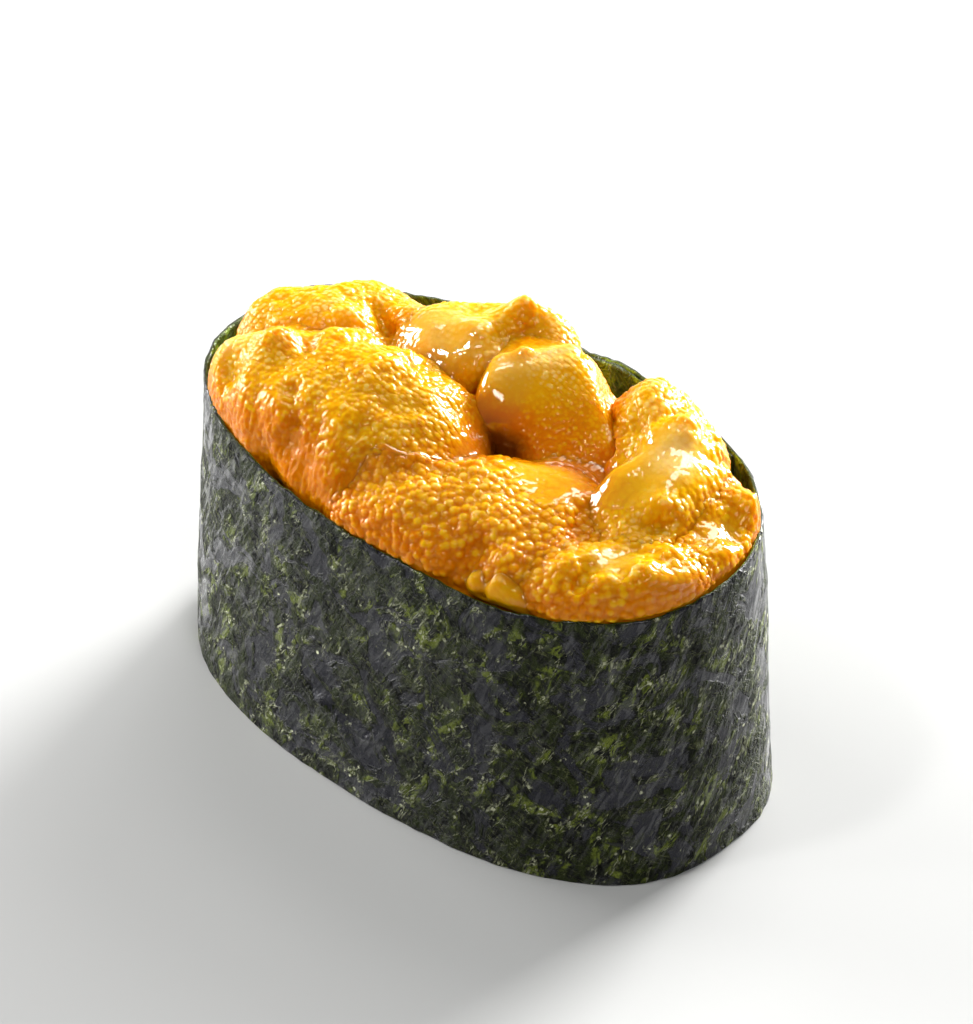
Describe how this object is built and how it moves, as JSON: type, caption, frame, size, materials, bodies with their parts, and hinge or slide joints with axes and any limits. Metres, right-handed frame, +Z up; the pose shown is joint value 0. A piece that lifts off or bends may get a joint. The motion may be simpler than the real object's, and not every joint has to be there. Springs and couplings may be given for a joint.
{
  "type": "sea urchin gunkan sushi",
  "caption": "Oval cake of sushi rice wrapped in a tall band of dried seaweed, with glazed tongues of sea urchin roe heaped in the collar above it.",
  "frame": {"origin": "on the surface that it stands on, under the middle of the band's oval", "axes": "+X along the oval's long way, towards the end with the low rim pieces; +Z up"},
  "size_m": [0.06, 0.0361, 0.038],
  "materials": {
    "seaweed": "dried seaweed: dark green-black, mottled, with a dull sheen",
    "rice": "cooked white rice, moist, slightly translucent",
    "roe_glazed": "wet orange roe under a clear glaze",
    "roe_grainy": "wet orange roe with beaded grain",
    "roe_pale": "wet yellow-orange roe with fine grain"
  },
  "bodies": {
    "root": {"seaweed_band": "seaweed", "rice_cake": "rice", "roe_middle": "roe_glazed", "roe_rim_piece": "roe_glazed", "roe_front_right": "roe_grainy", "roe_front_middle": "roe_grainy", "roe_front_left": "roe_pale", "roe_right": "roe_glazed", "roe_far_right": "roe_glazed", "roe_back_middle": "roe_glazed", "roe_back_left": "roe_pale", "roe_under": "roe_grainy"}
  },
  "joints": []
}
